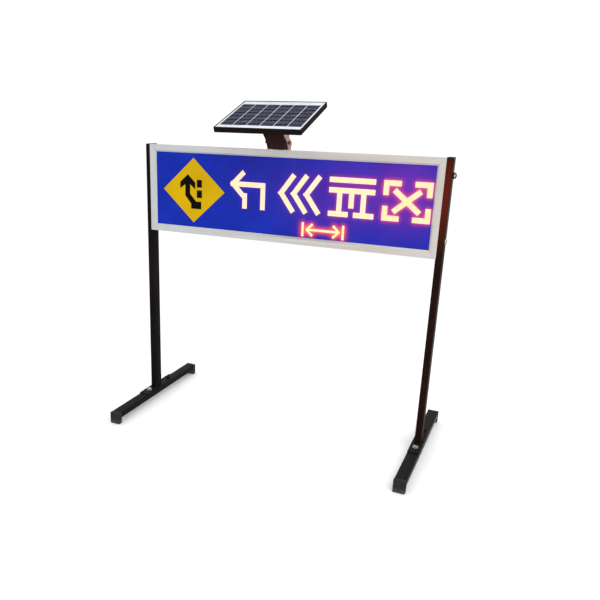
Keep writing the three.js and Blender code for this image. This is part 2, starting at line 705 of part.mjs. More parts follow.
// The arm under the panel's rail: an upright web in front of the pivot, a cheek back from
// each side of it, and a flange forwards along the rail. Outlines are (y, z) about the
// pivot with the panel at rest, so they are turned back by the panel's tilt.
const ARM = { front: -41.5, thickness: 2.5, low: -25, cheekBack: -28, flange: 42 };
const RAIL_UNDERSIDE = PANEL_HEIGHT - PANEL_THICKNESS - RAIL.depth - GAP; // square to the panel
const belowRail = (y) => (RAIL_UNDERSIDE + y * Math.sin(PANEL_TILT)) / Math.cos(PANEL_TILT);
const armFrontOnRail = ARM.front * Math.cos(PANEL_TILT) + belowRail(ARM.front) * Math.sin(PANEL_TILT);

function armGeometry() {
  const { front, thickness, low, cheekBack, flange } = ARM;
  const cheek = [
    [front, low], [front + thickness, low], [-35, -17], [-16, -14], [-4, -17], [8, -15],
    [16, -7], [17, 3], [12, 14], [cheekBack, 60], [cheekBack, belowRail(cheekBack)], [front, belowRail(front)],
  ];
  const hole = [circle(0, 0, PIVOT_HOLE, 12)];
  const web = [
    [front, low], [front + thickness, low],
    [front + thickness, belowRail(front + thickness)], [front, belowRail(front)],
  ];
  const upright = join(
    prismX(web, -ARM_OUTER, ARM_OUTER),
    prismX(cheek, -ARM_OUTER, -ARM_OUTER + thickness, hole),
    prismX(cheek, ARM_OUTER - thickness, ARM_OUTER, hole),
  );
  // Notch for the panel's lead at the lower left corner, in (x, z).
  const notch = prismY(
    [[-ARM_OUTER - 1, low - 1], [-ARM_OUTER + 30, low - 1], [-ARM_OUTER + 29, -10.6], [-ARM_OUTER - 1, -2.5]],
    front - 1,
    front + 16,
  );
  const turned = cut(upright, notch).rotateX(-PANEL_TILT);
  const plate = block(
    -ARM_OUTER, ARM_OUTER, armFrontOnRail - flange, armFrontOnRail + thickness,
    RAIL_UNDERSIDE - thickness, RAIL_UNDERSIDE,
  );
  return join(turned, plate);
}

function panelFrameGeometry() {
  const wall = 2;
  const lip = 3;
  const flange = 14;
  const outline = (inset) => rectangle(
    -PANEL_WIDTH / 2 + inset, -PANEL_LENGTH / 2 + inset,
    PANEL_WIDTH / 2 - inset, PANEL_LENGTH / 2 - inset,
  );
  const bottom = -PANEL_THICKNESS;
  return join(
    prismZ(outline(0), bottom, 0, [outline(wall)]),
    prismZ(outline(0.5), -1.5, 0, [outline(lip)]),
    prismZ(outline(0.5), bottom, bottom + 1.5, [outline(flange)]),
  );
}

function addPanel(parent) {
  const turning = groupAt(parent, BRACKET_X, PIVOT_Y, PIVOT_Z);
  turning.rotation.x = PANEL_TILT;
  piece(turning, 'bracket_arm', 'blackPaint', armGeometry());

  const panel = groupAt(turning, 0, -PANEL_FORWARD, PANEL_HEIGHT);
  piece(panel, 'panel_frame', 'panelFrame', panelFrameGeometry());
  const clear = 2 + GAP;
  piece(panel, 'panel_laminate', 'panelGlass', block(
    -PANEL_WIDTH / 2 + clear, PANEL_WIDTH / 2 - clear,
    -PANEL_LENGTH / 2 + clear, PANEL_LENGTH / 2 - clear,
    -5.5, -1.5 - GAP,
  ));

  const boxTop = -5.5 - GAP;
  const box = block(-34, 34, 56, 106, boxTop - 12, boxTop);
  const neck = prismY(circle(0, boxTop - 7, 4.5, 12), 46, 57);
  piece(panel, 'junction_box', 'blackPlastic', join(box, neck));

  // Shallow channel across the panel's back, which the arm is bolted to.
  const half = PANEL_WIDTH / 2 - 6;
  const top = -PANEL_THICKNESS - GAP;
  const bottom = -PANEL_THICKNESS - RAIL.depth;
  const back = PANEL_FORWARD + armFrontOnRail + 2;
  const front = back - RAIL.width;
  const channel = [
    [front, top], [front, bottom], [back, bottom], [back, top], [back - RAIL.wall, top],
    [back - RAIL.wall, bottom + RAIL.wall], [front + RAIL.wall, bottom + RAIL.wall], [front + RAIL.wall, top],
  ];
  piece(panel, 'panel_rail', 'panelFrame', prismX(channel, -half, half));
}

// -------------------------------------------------------------------------- assembly

const sign = new THREE.Group();
addLeg(sign, 'left');
addLeg(sign, 'right');
addFrame(sign);
addSideBolts(sign);
addMessage(sign);
addDiamond(sign);
addBackCover(sign);
addBattery(sign);
addController(sign);
addSwitch(sign);
addCableGland(sign);
addLowerBracket(sign);
addPanel(sign);

export default sign;
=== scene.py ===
import json
import math
import random

import bmesh
import bpy
from mathutils import Matrix, Vector


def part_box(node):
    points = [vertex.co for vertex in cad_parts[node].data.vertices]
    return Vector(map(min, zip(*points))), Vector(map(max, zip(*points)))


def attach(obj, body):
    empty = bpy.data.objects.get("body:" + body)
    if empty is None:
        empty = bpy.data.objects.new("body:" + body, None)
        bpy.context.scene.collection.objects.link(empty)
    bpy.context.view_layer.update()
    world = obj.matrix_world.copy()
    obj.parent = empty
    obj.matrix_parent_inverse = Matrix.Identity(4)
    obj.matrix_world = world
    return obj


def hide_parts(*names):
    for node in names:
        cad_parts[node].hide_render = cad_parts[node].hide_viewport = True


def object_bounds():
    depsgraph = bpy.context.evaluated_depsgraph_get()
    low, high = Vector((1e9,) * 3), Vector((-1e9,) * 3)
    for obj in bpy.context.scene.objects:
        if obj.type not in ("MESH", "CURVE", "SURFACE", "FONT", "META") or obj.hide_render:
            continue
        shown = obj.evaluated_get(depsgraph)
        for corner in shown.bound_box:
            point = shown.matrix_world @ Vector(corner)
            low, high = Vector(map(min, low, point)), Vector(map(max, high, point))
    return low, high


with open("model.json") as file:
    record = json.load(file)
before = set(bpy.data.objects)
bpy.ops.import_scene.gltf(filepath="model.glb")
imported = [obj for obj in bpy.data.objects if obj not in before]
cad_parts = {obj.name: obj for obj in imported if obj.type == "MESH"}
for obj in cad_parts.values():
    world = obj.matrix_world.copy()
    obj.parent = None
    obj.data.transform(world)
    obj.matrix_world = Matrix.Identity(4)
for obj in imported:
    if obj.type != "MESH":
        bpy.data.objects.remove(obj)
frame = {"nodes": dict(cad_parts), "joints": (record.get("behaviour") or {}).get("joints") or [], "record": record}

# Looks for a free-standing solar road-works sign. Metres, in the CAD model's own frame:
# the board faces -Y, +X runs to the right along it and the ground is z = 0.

NODES = frame["nodes"]
JOINTS = {joint["name"]: joint for joint in frame["joints"]}
CAD_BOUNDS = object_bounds()
MM = 0.001
SIDES = {"left": -1, "right": 1}
rng = random.Random(11)


# ---------------------------------------------------------------- camera, stage and light

CAMERA_PLACE = Vector((0.9708, -2.4936, 1.2920))
CAMERA_TURN = math.radians(24.83)  # to the left of straight at the board
CAMERA_DIP = math.radians(18.51)
CAMERA_ROLL = math.radians(1.21)
CAMERA_LENS = 40.42
SENSOR_WIDTH = 36
CAMERA_SHIFT = (0.10, 0.058)


def make_camera():
    data = bpy.data.cameras.new("camera")
    data.lens = CAMERA_LENS
    data.sensor_width = SENSOR_WIDTH
    data.shift_x, data.shift_y = CAMERA_SHIFT
    data.clip_start = 0.05
    data.clip_end = 100
    forward = Vector((
        -math.sin(CAMERA_TURN) * math.cos(CAMERA_DIP),
        math.cos(CAMERA_TURN) * math.cos(CAMERA_DIP),
        -math.sin(CAMERA_DIP),
    ))
    level = forward.cross(Vector((0, 0, 1))).normalized()
    upright = level.cross(forward)
    right = level * math.cos(CAMERA_ROLL) + upright * math.sin(CAMERA_ROLL)
    up = upright * math.cos(CAMERA_ROLL) - level * math.sin(CAMERA_ROLL)
    camera = bpy.data.objects.new("camera", data)
    turned = Matrix((right, up, -forward)).transposed().to_4x4()
    camera.matrix_world = Matrix.Translation(CAMERA_PLACE) @ turned
    bpy.context.scene.collection.objects.link(camera)
    bpy.context.scene.camera = camera


def make_light(name, place, target, size, power):
    data = bpy.data.lights.new(name, "AREA")
    data.shape = "RECTANGLE"
    data.size, data.size_y = size
    data.energy = power
    light = bpy.data.objects.new(name, data)
    light.location = place
    light.rotation_euler = (Vector(target) - Vector(place)).to_track_quat("-Z", "Y").to_euler()
    bpy.context.scene.collection.objects.link(light)


WORLD_STRENGTH = 1.06


def make_world():
    """An even white surround."""
    world = bpy.data.worlds.new("studio")
    world.use_nodes = True
    surround = world.node_tree.nodes["Background"]
    surround.inputs["Color"].default_value = (1, 1, 1, 1)
    surround.inputs["Strength"].default_value = WORLD_STRENGTH
    bpy.context.scene.world = world


# -------------------------------------------------------------------------- material kit


def srgb(red, green, blue):
    """A colour as the eye reads it, 0 to 255, as the linear colour that shaders take."""
    def linear(value):
        value /= 255
        return value / 12.92 if value <= 0.04045 else ((value + 0.055) / 1.055) ** 2.4
    return (linear(red), linear(green), linear(blue), 1.0)


class Look:
    """One Principled material, with short calls for the nodes that feed it."""

    def __init__(self, name, **sockets):
        self.material = bpy.data.materials.new(name)
        self.material.use_nodes = True
        self.tree = self.material.node_tree
        self.shader = self.tree.nodes["Principled BSDF"]
        self.coordinates = self.add("ShaderNodeTexCoord")
        self.object_space = self.coordinates.outputs["Object"]
        self.set(**sockets)

    def set(self, **sockets):
        """Sockets are named in lower case with underscores, such as base_color."""
        for name, value in sockets.items():
            words = ["IOR" if word == "ior" else word.capitalize() for word in name.split("_")]
            self.put(self.shader.inputs[" ".join(words)], value)

    def put(self, socket, value):
        if isinstance(value, bpy.types.NodeSocket):
            self.tree.links.new(value, socket)
        else:
            socket.default_value = value

    def add(self, kind, inputs=None, **settings):
        made = self.tree.nodes.new(kind)
        for name, value in settings.items():
            setattr(made, name, value)
        for key, value in (inputs or {}).items():
            self.put(made.inputs[key], value)
        return made

    def noise(self, scale, detail=3.0, stretch=(1, 1, 1), shift=0.0):
        place = self.add("ShaderNodeMapping", {
            "Vector": self.object_space, "Scale": stretch, "Location": (shift, shift, shift),
        })
        made = self.add("ShaderNodeTexNoise", {
            "Vector": place.outputs["Vector"], "Scale": scale, "Detail": detail,
        })
        return made.outputs["Fac"]

    def cells(self, scale):
        made = self.add("ShaderNodeTexVoronoi", {"Vector": self.object_space, "Scale": scale})
        return made.outputs["Color"]

    def span(self, value, low, high, to_low=0.0, to_high=1.0):
        """Stretches low..high to to_low..to_high, and holds it there."""
        made = self.add("ShaderNodeMapRange", {
            "Value": value, "From Min": low, "From Max": high, "To Min": to_low, "To Max": to_high,
        })
        return made.outputs["Result"]

    def calc(self, operation, first, second=0.0):
        made = self.add("ShaderNodeMath", {0: first, 1: second}, operation=operation)
        return made.outputs["Value"]

    def vector(self, operation, first, second=(0, 0, 0), third=None, output="Vector"):
        inputs = {0: first, 1: second}
        if third is not None:
            inputs[2] = third
        return self.add("ShaderNodeVectorMath", inputs, operation=operation).outputs[output]

    def blend(self, factor, first, second):
        made = self.add("ShaderNodeMix", {0: factor, 6: first, 7: second}, data_type="RGBA")
        return made.outputs[2]

    def attribute(self, name):
        return self.add("ShaderNodeAttribute", attribute_name=name).outputs["Fac"]

    def bump(self, height, strength, distance):
        made = self.add("ShaderNodeBump", {"Height": height, "Strength": strength, "Distance": distance})
        normal = self.shader.inputs["Normal"]
        if normal.is_linked:
            self.put(made.inputs["Normal"], normal.links[0].from_socket)
        self.put(normal, made.outputs["Normal"])

    def edges(self, radius):
        """1 where the surface turns a corner of about that radius, and 0 on its flats."""
        rounded = self.add("ShaderNodeBevel", {"Radius": radius}, samples=4).outputs["Normal"]
        flat = self.add("ShaderNodeNewGeometry").outputs["Normal"]
        alike = self.vector("DOT_PRODUCT", rounded, flat, output="Value")
        return self.span(alike, 0.97, 0.80)

    def facing_up(self):
        parts = self.add("ShaderNodeSeparateXYZ", {0: self.coordinates.outputs["Normal"]})
        return self.span(parts.outputs["Z"], 0.55, 0.98)

    def height(self):
        return self.add("ShaderNodeSeparateXYZ", {0: self.object_space}).outputs["Z"]


def honeycomb(look, cell):
    """Sealed-cell pattern of retroreflective film, in the XZ plane: 1 on the walls of the cells."""
    parts = look.add("ShaderNodeSeparateXYZ", {0: look.object_space})
    flat = look.add("ShaderNodeCombineXYZ", {
        0: look.calc("DIVIDE", parts.outputs["X"], cell), 1: look.calc("DIVIDE", parts.outputs["Z"], cell),
    }).outputs["Vector"]
    half = (0.5, math.sqrt(3) / 2, 0.5)
    low = tuple(-value for value in half)
    first = look.vector("WRAP", flat, half, low)
    second = look.vector("WRAP", look.vector("SUBTRACT", flat, half), half, low)
    nearer = look.calc(
        "LESS_THAN",
        look.vector("LENGTH", first, output="Value"),
        look.vector("LENGTH", second, output="Value"),
    )
    chosen = look.add("ShaderNodeMix", {0: nearer, 4: second, 5: first}, data_type="VECTOR").outputs[1]
    folded = look.vector("ABSOLUTE", chosen)
    slanted = look.vector("DOT_PRODUCT", folded, (0.5, math.sqrt(3) / 2, 0), output="Value")
    sideways = look.add("ShaderNodeSeparateXYZ", {0: folded}).outputs["X"]
    return look.span(look.calc("MAXIMUM", slanted, sideways), 0.43, 0.49)


# ------------------------------------------------------------------------------ materials


def black_paint(name, tint=(0.0036, 0.0028, 0.0028), dust=0.35, wear=0.3, sheen=0.5, lit=False):
    """Black paint on steel: orange peel, a film of dust on top, worn at the corners.

    `sheen` is how strongly it mirrors the room. `lit` adds the red light that the lamps nearest
    to the right-hand post throw on its front.
    """
    look = Look(name, ior=1.07, specular_ior_level=sheen)
    clouds = look.noise(7, 4)
    paint = look.blend(clouds, (*tint, 1), (*[3.4 * value for value in tint], 1))
    speckle = look.span(look.noise(160, 5, shift=3), 0.42, 0.7)
    dusty = look.calc("MULTIPLY", look.calc("MULTIPLY", look.facing_up(), speckle), dust)
    coated = look.blend(dusty, paint, srgb(64, 64, 60))
    chips = look.span(look.noise(90, 6, shift=1), 0.52, 0.66)
    bare = look.calc("MULTIPLY", look.calc("MULTIPLY", look.edges(0.0012), chips), wear)
    gloss = look.span(clouds, 0.3, 0.7, 0.26, 0.42)
    look.set(
        base_color=look.blend(bare, coated, srgb(116, 112, 106)),
        metallic=look.calc("MULTIPLY", bare, 0.7),
        roughness=look.calc("ADD", gloss, look.calc("MULTIPLY", dusty, 0.3)),
    )
    look.bump(look.noise(420, 2), 0.10, 0.0004)
    look.bump(look.noise(60, 3, shift=5), 0.05, 0.0006)
    if lit:
        normal = look.add("ShaderNodeSeparateXYZ", {0: look.coordinates.outputs["Normal"]}).outputs["Y"]
        level = look.height()
        beside = look.calc("MULTIPLY", look.span(level, 0.80, 0.97), look.span(level, 1.18, 1.06, 0.3, 1.0))
        look.set(
            emission_color=(1.0, 0.10, 0.025, 1),
            emission_strength=look.calc("MULTIPLY", look.span(normal, -0.3, -0.9, 0, 0.095), beside),
        )
    return look.material


def black_plastic(name, tint=(14, 14, 14)):
    """Moulded plastic with a fine spark-eroded grain."""
    look = Look(name, ior=1.15)
    clouds = look.noise(22, 3)
    pale = tuple(value + 16 for value in tint)
    scuffed = look.calc("MULTIPLY", look.edges(0.0010), look.span(look.noise(120, 4), 0.4, 0.7, 0.1, 0.6))
    base = look.blend(clouds, srgb(*tint), srgb(*pale))
    look.set(
        base_color=look.blend(scuffed, base, srgb(72, 72, 72)),
        roughness=look.span(clouds, 0.3, 0.7, 0.46, 0.62),
    )
    look.bump(look.noise(1500, 2), 0.25, 0.0002)
    return look.material


def boot_rubber():
    """Dull rubber, greyed at the foot by the road."""
    look = Look("boot_rubber", ior=1.15)
    grain = look.noise(240, 4)
    grime = look.calc("MULTIPLY", look.span(look.height(), 0.024, 0.0, 0, 0.55), look.span(grain, 0.35, 0.65))
    rubbed = look.calc("MULTIPLY", look.edges(0.0018), look.span(look.noise(60, 4), 0.35, 0.65, 0.1, 0.5))
    base = look.blend(look.noise(18, 3), srgb(27, 30, 31), srgb(44, 49, 50))
    worn = look.blend(rubbed, base, srgb(104, 110, 112))
    look.set(
        base_color=look.blend(grime, worn, srgb(118, 116, 110)),
        roughness=look.span(grain, 0.3, 0.7, 0.52, 0.72),
    )
    look.bump(grain, 0.3, 0.0005)
    look.bump(look.noise(1200, 2), 0.2, 0.0002)
    return look.material


def zinc_steel(name="zinc_steel", tint=(204, 202, 194), bloom_colour=(168, 160, 144)):
    """Zinc-plated steel: a faint crystalline mottle and a dull bloom."""
    look = Look(name, metallic=1.0)
    mottle = look.add("ShaderNodeSeparateColor", {0: look.cells(420)}).outputs["Red"]
    bloom = look.span(look.noise(70, 4), 0.35, 0.7)
    plated = look.blend(mottle, srgb(*[value - 22 for value in tint]), srgb(*tint))
    look.set(
        base_color=look.blend(look.calc("MULTIPLY", bloom, 0.45), plated, srgb(*bloom_colour)),
        roughness=look.span(bloom, 0, 1, 0.26, 0.5),
    )
    look.bump(look.noise(600, 3), 0.12, 0.0003)
    return look.material


def brushed_aluminium(name, grain, tint=(204, 204, 202), metallic=0.45, smudges=0.3, paint_lamp_light=True):
    """Satin sheet or profile, brushed along one axis. `grain` squeezes the noise across that axis.

    When it is switched on, painted warm lamp light tints it from cool at the left to warm at the right, where the
    bright lamps are.
    """
    look = Look(name, metallic=metallic, specular_ior_level=0.5)
    brushing = look.noise(34, 3, stretch=grain)
    clouds = look.noise(6, 4, shift=2)
    dark = tuple(value - 20 for value in tint)
    satin = look.blend(look.span(brushing, 0.35, 0.65), srgb(*dark), srgb(*tint))
    smudge = look.calc("MULTIPLY", look.span(clouds, 0.5, 0.72), smudges)
    scratch = look.calc("MULTIPLY", look.span(look.noise(260, 5, shift=4), 0.62, 0.7), 0.35)
    marked = look.blend(smudge, satin, srgb(172, 170, 160))
    # painted lamp light: a warm tint that grows towards the right, where the bright lamps are
    if paint_lamp_light:
        across = look.add("ShaderNodeSeparateXYZ", {0: look.object_space}).outputs["X"]
        painted_lamp_warmth = look.blend(look.span(across, -0.55, 0.35), srgb(247, 251, 255), srgb(255, 247, 242))
        tinted = look.add(
            "ShaderNodeMix", {0: 1.0, 6: marked, 7: painted_lamp_warmth}, data_type="RGBA", blend_type="MULTIPLY",
        )
        marked = tinted.outputs[2]
    gloss = look.span(brushing, 0.3, 0.7, 0.28, 0.42)
    look.set(
        base_color=look.blend(scratch, marked, srgb(150, 150, 148)),
        roughness=look.calc("ADD", gloss, look.calc("MULTIPLY", smudge, 0.3)),
    )
    look.bump(brushing, 0.12, 0.0003)
    return look.material


FILM_CELL = 4.2 * MM


def film(name, dark, light, glow=None):
    """Retroreflective film: sealed cells and faint handling marks.

    `glow` is the colour of lamp light painted close around the lamps: it reddens the film and makes it glow there,
    from the film's own attributes.
    """
    look = Look(name, ior=1.16)
    walls = honeycomb(look, FILM_CELL)
    clouds = look.span(look.noise(9, 4), 0.3, 0.7)
    ground = look.blend(clouds, srgb(*dark), srgb(*light))
    seam = srgb(*[min(255, value + 34) for value in light])
    seamed = look.blend(look.calc("MULTIPLY", walls, 0.22), ground, seam)
    look.set(
        base_color=seamed,
        roughness=look.span(look.noise(45, 4, shift=6), 0.3, 0.7, 0.30, 0.48),
    )
    look.bump(walls, 0.10, 0.0002)
    look.bump(look.noise(14, 3, shift=8), 0.05, 0.001)
    if glow:
        halo = look.span(look.attribute("halo"), 0, 1)
        # painted lamp light: the film turns red and glows close around the lamps
        reddened = look.blend(look.calc("MULTIPLY", halo, 0.85), seamed, srgb(150, 18, 30))
        total = look.calc("ADD", look.calc("MULTIPLY", halo, 0.8), look.attribute("cast"))
        look.set(
            base_color=reddened,
            emission_color=look.blend(look.calc("POWER", halo, 0.6), (1.0, 0.02, 0.0, 1), glow),
            emission_strength=total,
        )
    return look.material


def black_film():
    look = Look("black_film", ior=1.1)
    streaks = look.noise(60, 4)
    look.set(
        base_color=look.blend(streaks, srgb(8, 5, 4), srgb(18, 12, 10)),
        roughness=look.span(streaks, 0.3, 0.7, 0.36, 0.52),
    )
    look.bump(look.noise(300, 3), 0.08, 0.0003)
    return look.material


def strip_film(name, brightness):
    """White film of a light strip, lit from its lamps. Brighter strips are redder."""
    look = Look(name, ior=1.2)
    soft = look.span(look.noise(55, 4), 0.3, 0.7)
    look.set(
        base_color=look.blend(soft, srgb(222, 184, 174), srgb(230, 196, 186)),
        emission_color=(1.0, 0.92 - 0.34 * brightness, 0.86 - 0.56 * brightness, 1),
        emission_strength=look.span(soft, 0, 1, 0.27, 0.33),
        roughness=look.span(soft, 0, 1, 0.35, 0.5),
    )
    look.bump(look.noise(420, 2), 0.08, 0.0002)
    return look.material


def lamp(name, brightness):
    """Amber resin dome of a lit lamp, and the ring of light around it."""
    look = Look(name, ior=1.2)
    heat = look.span(look.attribute("warmth"), 0.05, 0.85)
    swirl = look.span(look.noise(300, 3), 0.3, 0.7)
    amber = look.blend(swirl, srgb(255, 220, 96), srgb(255, 230, 122))
    rim = (1.0, 0.92 - 0.34 * brightness, 0.86 - 0.56 * brightness, 1)
    look.set(
        base_color=look.blend(heat, srgb(228, 190, 178), amber),
        emission_color=look.blend(heat, rim, (1.0, 0.95, 0.22, 1)),
        emission_strength=look.span(heat, 0, 1, 0.30, 0.34),
        roughness=look.span(swirl, 0, 1, 0.2, 0.32),
    )
    look.bump(swirl, 0.05, 0.0002)
    return look.material


def solar_cell():
    """Dark silicon: crystal grains and fine printed fingers."""
    look = Look("solar_cell", ior=1.04, specular_ior_level=0.2)
    grain = look.add("ShaderNodeSeparateColor", {0: look.cells(95)}).outputs["Red"]
    along = look.add("ShaderNodeSeparateXYZ", {0: look.object_space}).outputs["X"]
    comb = look.calc("ABSOLUTE", look.calc("SINE", look.calc("MULTIPLY", along, math.pi / 0.0024)))
    fingers = look.span(comb, 0.10, 0.02, 0, 0.2)
    silicon = look.blend(grain, srgb(11, 11, 30), srgb(18, 18, 40))
    look.set(
        base_color=look.blend(fingers, silicon, srgb(78, 80, 98)),
        roughness=look.span(grain, 0, 1, 0.26, 0.42),
        metallic=look.calc("MULTIPLY", fingers, 0.6),
    )
    look.bump(look.noise(900, 2), 0.04, 0.0001)
    return look.material


def backsheet():
    look = Look("backsheet", ior=1.2)
    haze = look.span(look.noise(26, 4), 0.3, 0.7)
    look.set(
        base_color=look.blend(haze, srgb(200, 205, 214), srgb(214, 219, 228)),
        roughness=look.span(haze, 0, 1, 0.4, 0.55),
    )
    look.bump(look.noise(700, 2), 0.05, 0.0001)
    return look.material


def moulded(name, dark, light, rough=(0.35, 0.5)):
    """Coloured moulded plastic or shrink wrap."""
    look = Look(name, specular_ior_level=0.45)
    clouds = look.span(look.noise(40, 4), 0.3, 0.7)
    look.set(
        base_color=look.blend(clouds, srgb(*dark), srgb(*light)),
        roughness=look.span(clouds, 0, 1, *rough),
    )
    look.bump(look.noise(900, 2), 0.12, 0.0002)
    return look.material


def studio_floor():
    look = Look("studio_floor", ior=1.1)
    clouds = look.noise(1.5, 3)
    look.set(
        base_color=look.blend(clouds, (0.95, 0.95, 0.95, 1), (0.97, 0.97, 0.97, 1)),
        roughness=look.span(clouds, 0.3, 0.7, 0.8, 0.9),
    )
    look.bump(look.noise(60, 3), 0.02, 0.001)
    return look.material


ALONG_X = (0.06, 9, 9)
ALONG_Z = (9, 9, 0.06)

LOOKS = {
    "black_paint": black_paint("black_paint"),
    "black_plastic": black_plastic("black_plastic"),
    "boot_rubber": boot_rubber(),
    "zinc_steel": zinc_steel(),
    "frame_aluminium": brushed_aluminium("frame_aluminium_level", ALONG_X),
    "blue_film": film("blue_film", (8, 30, 146), (13, 40, 163), glow=(1.0, 0.18, 0.05, 1)),
    "yellow_film": film("yellow_film", (192, 153, 0), (202, 162, 1)),
    "black_film": black_film(),
    "led_lens": strip_film("led_lens", 0.5),
    "cover_sheet": brushed_aluminium("cover_sheet", ALONG_X, (182, 185, 186), 0.7, 0.5, paint_lamp_light=False),
    "battery_wrap": moulded("battery_wrap", (34, 62, 108), (44, 78, 128)),
    "controller_case": moulded("controller_case", (40, 96, 66), (52, 116, 80)),
    "red_plastic": moulded("red_plastic", (158, 22, 16), (180, 34, 26), (0.25, 0.4)),
    "panel_glass": backsheet(),
    "panel_frame_aluminium": black_paint("panel_frame_black", (0.0044, 0.0030, 0.0026), 0.2, 0.4, 0.15),
}
POST_PAINT = black_paint("post_paint", sheen=0.25)
# The lit post's redder tint and its glow are painted red light from the lamps nearest to it.
LIT_POST = black_paint("black_paint_lit", (0.0060, 0.0026, 0.0020), sheen=0.15, lit=True)
ARM_PAINT = black_paint("arm_paint", (0.012, 0.0052, 0.0046))
DULL_STEEL = zinc_steel("dull_steel", (96, 92, 88), (70, 66, 62))
# Its pink-brown colours are a painted warm reflection of the red lamps' light on the zinc.
BRACKET_STEEL_LAMP_LIT = zinc_steel("bracket_steel_lamp_lit", (170, 138, 124), (138, 104, 92))
UPRIGHT_ALUMINIUM = brushed_aluminium("frame_aluminium_upright", ALONG_Z)


# --------------------------------------------------------------------------- mesh helpers


def finish_mesh(name, shape, look, body, sharp=35, place=None, replaces=()):
    """Turns a bmesh into a smooth-shaded piece that rides on a body."""
    bmesh.ops.recalc_face_normals(shape, faces=shape.faces)
    mesh = bpy.data.meshes.new(name)
    shape.to_mesh(mesh)
    shape.free()
    mesh.polygons.foreach_set("use_smooth", [True] * len(mesh.polygons))
    mesh.set_sharp_from_angle(angle=math.radians(sharp))
    mesh.materials.append(look)
    piece = bpy.data.objects.new(name, mesh)
    bpy.context.scene.collection.objects.link(piece)
    if place is not None:
        piece.matrix_world = place
    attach(piece, body)
    if replaces:
        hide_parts(*replaces)
    return piece


def add_box(shape, low, high, bevel=0.0, segments=2):
    """A box from corner to corner, with its edges rounded."""
    low, high = Vector(low), Vector(high)
    size = high - low
    matrix = Matrix.Translation((low + high) / 2) @ Matrix.Diagonal((*size, 1))
    made = bmesh.ops.create_cube(shape, size=1, matrix=matrix)["verts"]
    if bevel:
        edges = {edge for vert in made for edge in vert.link_edges}
        bmesh.ops.bevel(shape, geom=list(edges), offset=bevel, segments=segments, affect="EDGES", profile=0.5)


def add_lathe(shape, profile, matrix, sides=28):
    """Turns a profile of (radius, height) pairs about Z, closed by its ends on the axis."""
    rings = []
    for radius, height in profile:
        if radius == 0:
            rings.append([shape.verts.new(matrix @ Vector((0, 0, height)))])
            continue
        angles = [2 * math.pi * i / sides for i in range(sides)]
        rings.append([
            shape.verts.new(matrix @ Vector((radius * math.cos(a), radius * math.sin(a), height)))
            for a in angles
        ])
    for lower, upper in zip(rings, rings[1:]):
        for i in range(sides):
            j = (i + 1) % sides
            corners = [lower[i % len(lower)], lower[j % len(lower)]]
            corners += [upper[j % len(upper)], upper[i % len(upper)]]
            distinct = list(dict.fromkeys(corners))
            if len(distinct) > 2:
                shape.faces.new(distinct)


def add_hex_head(shape, radius, height, matrix, chamfer=0.12):
    """A hexagon head whose upper corners are turned off, as on a real bolt."""
    sides = 6
    cut = radius * chamfer
    levels = ((1.0, 0.0), (1.0, height - cut), (1.0 - chamfer, height))
    rings = []
    for share, z in levels:
        rings.append([
            shape.verts.new(matrix @ Vector((
                share * radius * math.cos(math.pi * i / 3), share * radius * math.sin(math.pi * i / 3), z,
            ))) for i in range(sides)
        ])
    for lower, upper in zip(rings, rings[1:]):
        for i in range(sides):
            j = (i + 1) % sides
            shape.faces.new((lower[i], lower[j], upper[j], upper[i]))
    shape.faces.new(rings[0][::-1])
    shape.faces.new(rings[-1])


def add_tube(shape, points, radii, sides=12, closed=False):
    """A round tube through points, with a radius at each point."""
    count = len(points)
    rings = []
    side = None
    for i, point in enumerate(points):
        before = points[(i - 1) % count] if closed or i else point
        after = points[(i + 1) % count] if closed or i < count - 1 else point
        along = (after - before).normalized()
        if side is None:
            side = along.orthogonal().normalized()
        side = (side - along * side.dot(along)).normalized()
        other = along.cross(side)
        rings.append([
            shape.verts.new(point + radii[i] * (
                side * math.cos(2 * math.pi * k / sides) + other * math.sin(2 * math.pi * k / sides)
            )) for k in range(sides)
        ])
    pairs = list(zip(rings, rings[1:] + rings[:1])) if closed else list(zip(rings, rings[1:]))
    for lower, upper in pairs:
        for k in range(sides):
            j = (k + 1) % sides
            shape.faces.new((lower[k], lower[j], upper[j], upper[k]))
    if not closed:
        shape.faces.new(rings[0][::-1])
        shape.faces.new(rings[-1])


def turned_to(place, direction):
    """A matrix that takes +Z to `direction`, at `place`."""
    return Matrix.Translation(place) @ Vector(direction).to_track_quat("Z", "Y").to_matrix().to_4x4()


def centre_of(node):
    low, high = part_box(node)
    return (low + high) / 2


# -------------------------------------------------------------- CAD nodes that stay in view


def dress(name, look, bevel=0.35 * MM, sharp=30):
    """Gives a CAD node its material, and rounds its edges with modifiers."""
    node = NODES[name]
    node.data.materials.clear()
    node.data.materials.append(look)
    custom = node.data.attributes.get("custom_normal")
    if custom:
        node.data.attributes.remove(custom)
    node.data.polygons.foreach_set("use_smooth", [True] * len(node.data.polygons))
    weld = node.modifiers.new("weld", "WELD")
    weld.merge_threshold = 0.00001
    flats = node.modifiers.new("flats", "DECIMATE")
    flats.decimate_type = "DISSOLVE"
    flats.angle_limit = math.radians(1)
    rounding = node.modifiers.new("rounding", "BEVEL")
    rounding.width = bevel
    rounding.segments = 2
    rounding.limit_method = "ANGLE"
    rounding.angle_limit = math.radians(sharp)
    rounding.harden_normals = True
    return node


SLOT_OF = {row["node"]: row["material_slot"] for row in frame["record"]["subparts"]}
BEVELS = {
    "frame_aluminium": 0.5 * MM,
    "panel_frame_aluminium": 0.4 * MM,
    "black_paint": 0.5 * MM,
    "blue_film": 0.0,
}


def dress_all():
    for name, slot in SLOT_OF.items():
        dress(name, LOOKS[slot], BEVELS.get(slot, 0.25 * MM))
    for side in SIDES:
        NODES[f"frame_rail_{side}"].data.materials[0] = UPRIGHT_ALUMINIUM
    NODES["post_left"].data.materials[0] = POST_PAINT
    NODES["post_right"].data.materials[0] = LIT_POST
    NODES["bracket_arm"].data.materials[0] = ARM_PAINT
    NODES["bracket_lower"].data.materials[0] = BRACKET_STEEL_LAMP_LIT


# ------------------------------------------------------------------------------------ legs


